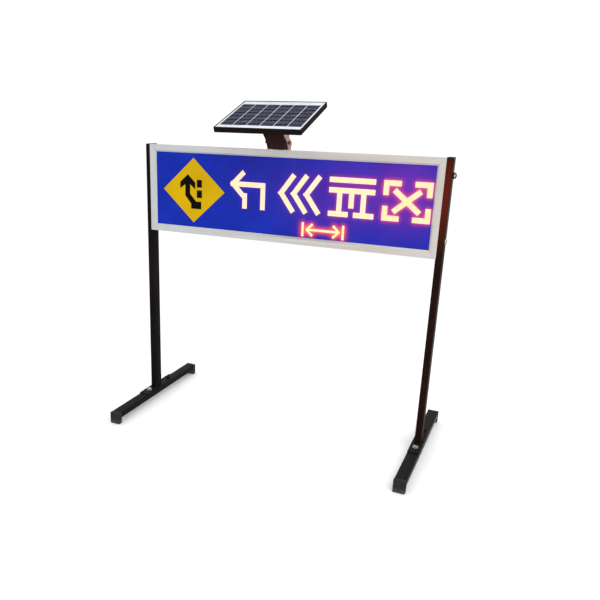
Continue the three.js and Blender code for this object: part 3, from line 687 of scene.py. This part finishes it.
def make_boot(side, end):
    """A rubber boot: chamfered block with a moulded line near its foot and a treaded sole."""
    name = f"foot_boot_{side}_{end}"
    low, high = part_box(name)
    outward = -1 if end == "front" else 1
    depth = 20 * MM
    face_y = low.y if end == "front" else high.y
    inner_y = face_y - outward * depth
    near, far = min(face_y, inner_y), max(face_y, inner_y)
    shape = bmesh.new()
    groove = 13 * MM  # height of the moulded line
    tread = 3 * MM
    add_box(shape, (low.x, near, groove + MM), (high.x, far, high.z), 2.2 * MM, 3)
    add_box(shape, (low.x, near, tread), (high.x, far, groove - MM), 1.6 * MM, 2)
    inset = 1.1 * MM
    add_box(
        shape,
        (low.x + inset, near + inset, groove - 2 * MM),
        (high.x - inset, far - inset, groove + 3 * MM),
        0.3 * MM,
    )
    blocks = 5
    pitch = (high.x - low.x - 2 * MM) / blocks
    for i in range(blocks):
        x = low.x + MM + i * pitch
        add_box(shape, (x + 0.8 * MM, near + MM, 0), (x + pitch - 0.8 * MM, far - MM, tread + MM), 0.6 * MM)
    finish_mesh(name + "_moulding", shape, LOOKS["boot_rubber"], "root", replaces=[name])


def make_foot_bolt(side, end):
    """Hexagon bolt on a washer, with a low mark on its head."""
    name = f"foot_bolt_{side}_{end}"
    low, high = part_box(name)
    centre = (low + high) / 2
    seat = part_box(f"base_plate_{side}")[1].z
    shape = bmesh.new()
    base = Matrix.Translation((centre.x, centre.y, seat + 0.1 * MM))
    washer = 1.8 * MM
    plate = [
        (0, 0), (10.8 * MM, 0), (11 * MM, 0.3 * MM), (11 * MM, 1.5 * MM), (10.6 * MM, washer), (0, washer),
    ]
    add_lathe(shape, plate, base)
    head = high.z - seat - washer - 0.1 * MM
    turn = Matrix.Rotation(rng.uniform(0, 1), 4, "Z")
    add_hex_head(shape, 9.8 * MM, head, base @ Matrix.Translation((0, 0, washer)) @ turn)
    dish = [(0, 0), (5.2 * MM, 0), (4.6 * MM, 0.25 * MM), (0, 0.35 * MM)]
    add_lathe(shape, dish, base @ Matrix.Translation((0, 0, washer + head - 0.05 * MM)))
    slot = SLOT_OF[name]
    finish_mesh(name + "_head", shape, LOOKS[slot], "root", replaces=[name])


def make_post_weld(side):
    """The bead of weld around the foot of a post, painted over."""
    low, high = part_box(f"post_{side}")
    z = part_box(f"base_plate_{side}")[1].z + 0.8 * MM
    corners = [(low.x, low.y), (high.x, low.y), (high.x, high.y), (low.x, high.y)]
    steps = 16
    points = []
    for (ax, ay), (bx, by) in zip(corners, corners[1:] + corners[:1]):
        for i in range(steps):
            t = i / steps
            points.append(Vector((ax + (bx - ax) * t, ay + (by - ay) * t, z)))
    radii = [(2.0 + 0.35 * math.sin(2.1 * i) + rng.uniform(-0.15, 0.15)) * MM for i in range(len(points))]
    shape = bmesh.new()
    add_tube(shape, points, radii, 10, closed=True)
    finish_mesh(f"post_weld_{side}", shape, LOOKS["black_paint"], "root", 60)


def make_eye_bolt(side):
    """A bent-wire bow on a collar."""
    name = f"eye_bolt_{side}"
    sign = SIDES[side]
    pivot = Vector(JOINTS[f"eye_turn_{side}"]["pos_m"])
    reach, half, wire = 10.8 * MM, 9.3 * MM, 2.7 * MM
    start = 2.5 * MM
    points = [pivot + Vector((sign * start, 0, 0))]
    steps = 18
    for i in range(steps + 1):
        angle = -math.pi / 2 + math.pi * i / steps
        out = start + 0.5 * MM + (reach - start - 0.5 * MM) * math.cos(angle)
        points.append(pivot + Vector((sign * out, 0, half * math.sin(angle))))
    shape = bmesh.new()
    add_tube(shape, points, [wire] * len(points), 14, closed=True)
    outward = turned_to(pivot + Vector((sign * 0.3 * MM, 0, 0)), (sign, 0, 0))
    collar = [(0, 0), (5.8 * MM, 0), (6 * MM, 0.3 * MM), (6 * MM, 2.0 * MM), (5 * MM, 2.8 * MM), (0, 3 * MM)]
    add_lathe(shape, collar, outward)
    finish_mesh(name + "_bow", shape, DULL_STEEL, f"eye_{side}", 50, replaces=[name])


def make_side_bolt(side):
    name = f"side_bolt_{side}"
    sign = SIDES[side]
    low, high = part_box(name)
    centre = (low + high) / 2
    seat = sign * (0.3 * MM) + (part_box(f"post_{side}")[1].x if sign > 0 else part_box(f"post_{side}")[0].x)
    base = turned_to(Vector((seat, centre.y, centre.z)), (sign, 0, 0))
    shape = bmesh.new()
    washer = [(0, 0), (9.2 * MM, 0), (9.4 * MM, 0.4 * MM), (9.0 * MM, 1.6 * MM), (0, 1.9 * MM)]
    add_lathe(shape, washer, base)
    add_hex_head(shape, 7.9 * MM, 4.6 * MM, base @ Matrix.Translation((0, 0, 1.4 * MM)), 0.14)
    crown = [(0, 0), (5.6 * MM, 0), (4.2 * MM, 0.55 * MM), (0, 0.8 * MM)]
    add_lathe(shape, crown, base @ Matrix.Translation((0, 0, 5.9 * MM)))
    finish_mesh(name + "_head", shape, LOOKS["zinc_steel"], "root", replaces=[name])


def make_legs():
    for side in SIDES:
        make_post_weld(side)
        make_eye_bolt(side)
        make_side_bolt(side)
        for end in ("front", "rear"):
            make_boot(side, end)
            make_foot_bolt(side, end)


# ------------------------------------------------------------------------- message and lamps

LAMP_PITCH = 20 * MM
LAMP_RADIUS = 4.2 * MM
RING_RADIUS = 7.6 * MM
STROKE = 20 * MM
SMALL_STROKE = 9 * MM
BRIGHTNESS = {1: 0.06, 2: 0.16, 3: 0.42, 4: 1.0, "small": 0.5}


def sign_strokes(number, half_width, half_height):
    """The light strips' middle lines about the middle of sign `number`, as pairs of (x, z)."""
    right = half_width - STROKE / 2
    top = half_height - STROKE / 2
    if number == 1:  # arrow that turns off to the left, over a lane line
        stem = right - 26 * MM
        return [
            ((stem, -top), (stem, 22 * MM)),
            ((stem, 22 * MM), (-right, 22 * MM)),
            ((-right, 22 * MM), (-right + 41 * MM, top)),
            ((-right, 22 * MM), (-right + 41 * MM, -top + 44 * MM)),
            ((-26 * MM, -top), (-26 * MM, -22 * MM)),
        ]
    if number == 2:  # three chevrons
        tips = [-right + 2 * MM + i * 52 * MM for i in range(3)]
        return [((tip, 0), (tip + 46 * MM, end)) for tip in tips for end in (top, -top)]
    if number == 3:  # road barrier
        board = top - 38 * MM
        return [
            ((-right, top), (right, top)),
            ((-right, board), (right, board)),
            ((-46 * MM, board), (-46 * MM, -top)),
            ((46 * MM, board), (46 * MM, -top)),
            ((-right, -top), (-20 * MM, -top)),
            ((20 * MM, -top), (right, -top)),
            ((0, board), (0, -top + 34 * MM)),
        ]
    if number == 4:  # closed lane: a cross between four corners
        corners = [(sx * right, sz * top) for sx in (-1, 1) for sz in (-1, 1)]
        level = [((x, z), (x - math.copysign(44 * MM, x), z)) for x, z in corners]
        upright = [((x, z), (x, z - math.copysign(34 * MM, z))) for x, z in corners]
        cross = [((-40 * MM, sz * 33 * MM), (40 * MM, -sz * 33 * MM)) for sz in (-1, 1)]
        return level + upright + cross
    end = half_width - SMALL_STROKE / 2  # distance mark: a double arrow between two bars
    tall = half_height - SMALL_STROKE / 2
    tip, barb = end - 17 * MM, 20 * MM
    bars = [((sx * end, -tall), (sx * end, tall)) for sx in (-1, 1)]
    barbs = [((sx * tip, 0), (sx * (tip - barb), sz * barb)) for sx in (-1, 1) for sz in (-1, 1)]
    return bars + [((-tip, 0), (tip, 0))] + barbs


def lamp_places(number):
    """Where the lamps of one sign are, in (x, z), at an even pitch along its strips."""
    name = f"led_module_{number}"
    low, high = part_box(name)
    thick = SMALL_STROKE if number == "small" else STROKE
    margin = thick / 4
    centre = (low + high) / 2
    half_width = (high.x - low.x) / 2 - margin
    half_height = (high.z - low.z) / 2 - margin
    pitch = LAMP_PITCH if number != "small" else 0.55 * LAMP_PITCH
    places = []
    for (ax, az), (bx, bz) in sign_strokes(number, half_width, half_height):
        length = math.hypot(bx - ax, bz - az)
        count = max(1, round(length / pitch))
        for i in range(count + 1):
            t = i / count
            place = Vector((centre.x + ax + (bx - ax) * t, centre.z + az + (bz - az) * t))
            if all((place - other).length > 0.62 * pitch for other in places):
                places.append(place)
    return places


def make_lamps(number):
    """Resin domes on a strip, each in a ring of warm light."""
    name = f"led_module_{number}"
    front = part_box(name)[0].y
    small = 0.62 if number == "small" else 1.0
    shape = bmesh.new()
    warmth = shape.verts.layers.float.new("warmth")
    for place in lamp_places(number):
        before = len(shape.verts)
        dome, ring = LAMP_RADIUS * small, RING_RADIUS * small
        seat = 0.26 * MM
        profile = [(0, 0), (ring, 0), (ring, 0.12 * MM), (0.5 * (dome + ring), 0.20 * MM), (dome, seat)]
        for angle in (math.radians(30), math.radians(60)):
            profile.append((dome * math.cos(angle), seat + 0.5 * dome * math.sin(angle)))
        profile.append((0, seat + 0.5 * dome))
        matrix = turned_to(Vector((place.x, front + 0.02 * MM, place.y)), (0, -1, 0))
        add_lathe(shape, profile, matrix, 14)
        shape.verts.ensure_lookup_table()
        for vert in shape.verts[before:]:
            away = math.hypot(vert.co.x - place.x, vert.co.z - place.y)
            vert[warmth] = max(0.0, min(1.0, (ring - away) / (ring - 0.6 * dome)))
    finish_mesh(f"lamps_{number}", shape, lamp(f"lamp_{number}", BRIGHTNESS[number]), "root", 60)


def lamp_light(x, z, lamps, signs):
    """How much light reaches a point of the face: close around each lamp, and wide around each sign."""
    reach = 13 * MM
    wide = 125 * MM
    halo = 0.0
    for place, power in lamps:
        away2 = (x - place.x) ** 2 + (z - place.y) ** 2
        if away2 < (3 * reach) ** 2:
            halo += power * math.exp(-away2 / reach**2)
    cast = 0.0
    for place, power in signs:
        away2 = (x - place.x) ** 2 + (z - place.y) ** 2
        cast += power * math.exp(-away2 / wide**2)
    return min(1.0, halo), 0.16 * cast


def make_face_film(lamps, signs):
    """The face's blue film: a thin sheet that carries how much lamp light reaches each point."""
    low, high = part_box("face_sheet")
    step = 5 * MM
    columns = round((high.x - low.x) / step)
    rows = round((high.z - low.z) / step)
    front, back = low.y - 0.18 * MM, low.y - 0.05 * MM
    shape = bmesh.new()
    halo_layer = shape.verts.layers.float.new("halo")
    cast_layer = shape.verts.layers.float.new("cast")
    outer, inner = [], []
    for r in range(rows + 1):
        z = low.z + (high.z - low.z) * r / rows
        outer.append([])
        inner.append([])
        for c in range(columns + 1):
            x = low.x + (high.x - low.x) * c / columns
            vert = shape.verts.new((x, front, z))
            vert[halo_layer], vert[cast_layer] = lamp_light(x, z, lamps, signs)
            outer[-1].append(vert)
            inner[-1].append(shape.verts.new((x, back, z)))
    for grid in (outer, inner):
        for r in range(rows):
            for c in range(columns):
                shape.faces.new((grid[r][c], grid[r][c + 1], grid[r + 1][c + 1], grid[r + 1][c]))
    rim = [(0, c) for c in range(columns)] + [(r, columns) for r in range(rows)]
    rim += [(rows, c) for c in range(columns, 0, -1)] + [(r, 0) for r in range(rows, 0, -1)]
    for (r1, c1), (r2, c2) in zip(rim, rim[1:] + rim[:1]):
        shape.faces.new((outer[r1][c1], outer[r2][c2], inner[r2][c2], inner[r1][c1]))
    finish_mesh("face_film", shape, LOOKS["blue_film"], "root")


def make_message():
    lamps = []
    signs = []
    for number, brightness in BRIGHTNESS.items():
        name = f"led_module_{number}"
        NODES[name].data.materials[0] = strip_film(f"strip_{number}", brightness)
        make_lamps(number)
        lamps += [(place, 0.9 * brightness) for place in lamp_places(number)]
        centre = centre_of(name)
        share = 0.4 if number == "small" else 1.0
        signs.append((Vector((centre.x, centre.z + 25 * MM)), share * brightness))
    make_face_film(lamps, signs)


# --------------------------------------------------------------------------------- the back


def add_button_screw(shape, matrix, radius=4.2 * MM, height=2.4 * MM):
    """A low domed screw head with a socket in it."""
    socket = 0.38 * radius
    depth = 0.6 * height
    profile = [
        (0, 0), (radius, 0), (radius, 0.25 * height), (0.86 * radius, 0.72 * height),
        (0.6 * radius, 0.95 * height), (1.15 * socket, height), (socket, 0.97 * height),
        (socket, height - depth), (0, height - depth),
    ]
    add_lathe(shape, profile, matrix, 20)


def make_cover_screws():
    """Screws around the edge of the back cover."""
    low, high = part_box("back_cover")
    inset = 8 * MM
    columns, rows = 7, 3
    shape = bmesh.new()
    for c in range(columns):
        for r in range(rows):
            if 0 < c < columns - 1 and 0 < r < rows - 1:
                continue
            x = low.x + inset + (high.x - low.x - 2 * inset) * c / (columns - 1)
            z = low.z + inset + (high.z - low.z - 2 * inset) * r / (rows - 1)
            place = turned_to(Vector((x, high.y - 0.05 * MM, z)), (0, 1, 0))
            washer = [(0, 0), (5.6 * MM, 0), (5.8 * MM, 0.3 * MM), (5.2 * MM, 0.9 * MM), (0, 0.9 * MM)]
            add_lathe(shape, washer, place)
            add_button_screw(shape, place @ Matrix.Translation((0, 0, 0.8 * MM)))
    finish_mesh("cover_screws", shape, DULL_STEEL, "root")


def make_cable_gland():
    """A sealed cable entry: hexagon body, ribbed dome nut and a seal with its bore, all in black plastic."""
    low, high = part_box("cable_gland")
    centre = (low + high) / 2
    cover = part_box("back_cover")[1].y
    base = turned_to(Vector((centre.x, cover + 0.2 * MM, centre.z)), (0, 1, 0))
    shape = bmesh.new()
    add_hex_head(shape, 12 * MM, 5.4 * MM, base, 0.06)
    length = high.y - cover - 0.2 * MM
    bore = 3.4 * MM
    dome = [
        (9.4 * MM, 5 * MM), (9.6 * MM, 5.6 * MM), (9.6 * MM, 12 * MM), (9.0 * MM, 14 * MM),
        (7.4 * MM, length - 1.5 * MM), (6.4 * MM, length), (bore, length), (bore, length - 6 * MM),
        (0, length - 6 * MM),
    ]
    add_lathe(shape, [(0, 5 * MM)] + dome, base)
    ribs = 14
    for i in range(ribs):
        turn = Matrix.Rotation(2 * math.pi * i / ribs, 4, "Z")
        rib = bmesh.new()
        add_box(rib, (9.2 * MM, -0.7 * MM, 5.8 * MM), (10.1 * MM, 0.7 * MM, 12.2 * MM), 0.25 * MM)
        rib.transform(base @ turn)
        mesh = bpy.data.meshes.new("rib")
        rib.to_mesh(mesh)
        rib.free()
        shape.from_mesh(mesh)
        bpy.data.meshes.remove(mesh)
    finish_mesh(
        "cable_gland_body", shape, LOOKS["black_plastic"], "root", replaces=["cable_gland"],
    )


def make_back():
    make_cover_screws()
    make_cable_gland()


# ------------------------------------------------------------------------------ solar panel

PANEL_TILT = math.radians(19.6)
CELL_COLUMNS = 6
CELL_ROWS = 6
CELL_HALF_WIDTH = 159 * MM
FRONT_MARGIN = 29.5 * MM
REAR_MARGIN = 35 * MM


def panel_space():
    """The panel's own frame: x across it, y up its slope and z out of its face, about the pivot."""
    pivot = Vector(JOINTS["panel_tilt"]["pos_m"])
    return Matrix.Translation(pivot) @ Matrix.Rotation(PANEL_TILT, 4, "X")


def box_in(space, name):
    """A node's lowest and highest corners in a turned frame."""
    back = space.inverted()
    points = [back @ vert.co for vert in NODES[name].data.vertices]
    low = Vector(min(point[k] for point in points) for k in range(3))
    high = Vector(max(point[k] for point in points) for k in range(3))
    return low, high


def make_laminate(space):
    """Backsheet, and cut cells with their ribbons."""
    low, high = box_in(space, "panel_laminate")
    outer_low, outer_high = box_in(space, "panel_frame")
    shape = bmesh.new()
    add_box(shape, low, high, 0.3 * MM)
    finish_mesh(
        "panel_sheet", shape, LOOKS["panel_glass"], "panel",
        place=space, replaces=["panel_laminate"],
    )

    middle = (low.x + high.x) / 2
    bottom = outer_low.y + FRONT_MARGIN
    top = outer_high.y - REAR_MARGIN
    pitch_x = 2 * CELL_HALF_WIDTH / CELL_COLUMNS
    pitch_y = (top - bottom) / CELL_ROWS
    gap_x, gap_y = 2.4 * MM, 1.3 * MM
    cells = bmesh.new()
    ribbons = bmesh.new()
    for column in range(CELL_COLUMNS):
        x0 = middle - CELL_HALF_WIDTH + column * pitch_x + gap_x / 2
        x1 = x0 + pitch_x - gap_x
        for row in range(CELL_ROWS):
            y0 = bottom + row * pitch_y + gap_y / 2
            y1 = y0 + pitch_y - gap_y
            add_box(cells, (x0, y0, high.z - 0.1 * MM), (x1, y1, high.z + 0.15 * MM), 0.05 * MM, 1)
            for share in (0.27, 0.73):
                y = y0 + share * (y1 - y0)
                add_box(ribbons, (x0, y - 0.7 * MM, high.z), (x1, y + 0.7 * MM, high.z + 0.24 * MM))
    finish_mesh("panel_cells", cells, solar_cell(), "panel", place=space)
    ribbon = zinc_steel("ribbon", (168, 168, 190), (136, 136, 156))
    finish_mesh("panel_ribbons", ribbons, ribbon, "panel", place=space)


def make_junction_box(space):
    """A lidded box on the panel's back, with corner screws and a short cable entry."""
    low, high = box_in(space, "junction_box")
    body_low = Vector((low.x, low.y + 12 * MM, low.z + 2.6 * MM))
    shape = bmesh.new()
    add_box(shape, body_low, high, 1.4 * MM, 3)
    lid_low = Vector((low.x + 0.6 * MM, body_low.y + 0.6 * MM, low.z))
    lid_high = Vector((high.x - 0.6 * MM, high.y - 0.6 * MM, low.z + 2.4 * MM))
    add_box(shape, lid_low, lid_high, 0.7 * MM, 2)
    add_box(
        shape, (low.x + 1.6 * MM, body_low.y + 1.6 * MM, low.z + 1.5 * MM),
        (high.x - 1.6 * MM, high.y - 1.6 * MM, low.z + 4 * MM),
    )
    for x in (low.x + 7 * MM, high.x - 7 * MM):
        for y in (body_low.y + 7 * MM, high.y - 7 * MM):
            place = turned_to(Vector((x, y, low.z + 0.6 * MM)), (0, 0, -1))
            add_button_screw(shape, place, 2.6 * MM, 1.4 * MM)
    middle = (low.x + high.x) / 2
    entry = turned_to(Vector((middle, body_low.y + MM, (low.z + high.z) / 2)), (0, -1, 0))
    reach = body_low.y + MM - low.y
    nose = [
        (0, 0), (4.4 * MM, 0), (4.4 * MM, 0.4 * reach), (3.9 * MM, 0.55 * reach), (3.6 * MM, 0.95 * reach),
        (3.1 * MM, reach), (1.8 * MM, reach), (1.8 * MM, 0.6 * reach), (0, 0.6 * reach),
    ]
    add_lathe(shape, nose, entry)
    finish_mesh(
        "junction_box_case", shape, LOOKS["black_plastic"], "panel",
        place=space, replaces=["junction_box"],
    )


def make_panel_rivets(space):
    """Blind rivets through the panel's cross rail."""
    low, high = box_in(space, "panel_rail")
    rivet = [(0, 0), (4 * MM, 0), (3.6 * MM, 0.8 * MM), (2 * MM, 1.5 * MM), (0, 1.7 * MM)]
    shape = bmesh.new()
    middle_y = (low.y + high.y) / 2
    for x in (low.x + 12 * MM, high.x - 12 * MM):
        for y in (middle_y - 9 * MM, middle_y + 9 * MM):
            place = turned_to(Vector((x, y, low.z + 0.05 * MM)), (0, 0, -1))
            add_lathe(shape, rivet, place)
    finish_mesh("panel_rail_rivets", shape, LOOKS["zinc_steel"], "panel", place=space)


def make_pivot():
    """Bolt head, nut and thread end on the bracket's pivot."""
    pivot = Vector(JOINTS["panel_tilt"]["pos_m"])
    low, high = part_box("pivot_bolt")
    ears_low, ears_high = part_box("bracket_lower")
    head = bmesh.new()
    right = turned_to(Vector((ears_high.x + 0.2 * MM, pivot.y, pivot.z)), (1, 0, 0))
    add_hex_head(head, 7.4 * MM, high.x - ears_high.x - 0.2 * MM, right, 0.13)
    left_end = turned_to(Vector((ears_low.x + 1 * MM, pivot.y, pivot.z)), (-1, 0, 0))
    reach = ears_low.x + 1 * MM - low.x
    turns = 9
    thread = [(0, 0)]
    for i in range(turns):
        z = reach * (i + 0.5) / turns
        thread += [(3.95 * MM, z), (3.45 * MM, z + 0.5 * reach / turns)]
    thread.append((0, reach))
    add_lathe(head, thread, left_end, 18)
    finish_mesh("pivot_bolt_ends", head, BRACKET_STEEL_LAMP_LIT, "root", replaces=["pivot_bolt"])

    nut_low, nut_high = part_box("pivot_nut")
    nut = bmesh.new()
    base = turned_to(Vector((nut_high.x, pivot.y, pivot.z)), (-1, 0, 0))
    add_hex_head(nut, 7.4 * MM, nut_high.x - nut_low.x, base, 0.13)
    finish_mesh("pivot_nut_body", nut, LOOKS["zinc_steel"], "root", replaces=["pivot_nut"])


def make_bracket_screws():
    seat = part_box("bracket_lower")[0].z + 3.2 * MM
    for number in (1, 2):
        name = f"bracket_screw_{number}"
        centre = centre_of(name)
        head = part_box(name)[1].z - seat
        shape = bmesh.new()
        base = Matrix.Translation((centre.x, centre.y, seat))
        add_lathe(shape, [(0, 0), (7 * MM, 0), (7 * MM, 0.7 * MM), (6.4 * MM, MM), (0, MM)], base)
        add_hex_head(shape, 5.8 * MM, head - 0.9 * MM, base @ Matrix.Translation((0, 0, 0.9 * MM)), 0.12)
        finish_mesh(name + "_head", shape, LOOKS["zinc_steel"], "root", replaces=[name])


def make_solar():
    space = panel_space()
    make_laminate(space)
    make_junction_box(space)
    make_panel_rivets(space)
    make_pivot()
    make_bracket_screws()


# --------------------------------------------------------------------------------- assembly


def make_floor():
    bpy.ops.mesh.primitive_plane_add(size=40, location=(0, 0, 0))
    floor = bpy.context.object
    floor.name = "floor"
    floor.data.materials.append(studio_floor())


def make_lights():
    low, high = CAD_BOUNDS
    middle = (low + high) / 2
    make_light("key", (2.4, -2.2, 3.6), middle, (1.8, 1.8), 48)
    make_light("top", (-0.6, 0.2, 4.2), middle, (3.6, 3.0), 16)


bpy.context.scene.view_settings.view_transform = "Standard"
make_camera()
make_world()
make_floor()
make_lights()
dress_all()
make_legs()
make_message()
make_back()
make_solar()

bpy.context.view_layer.update()
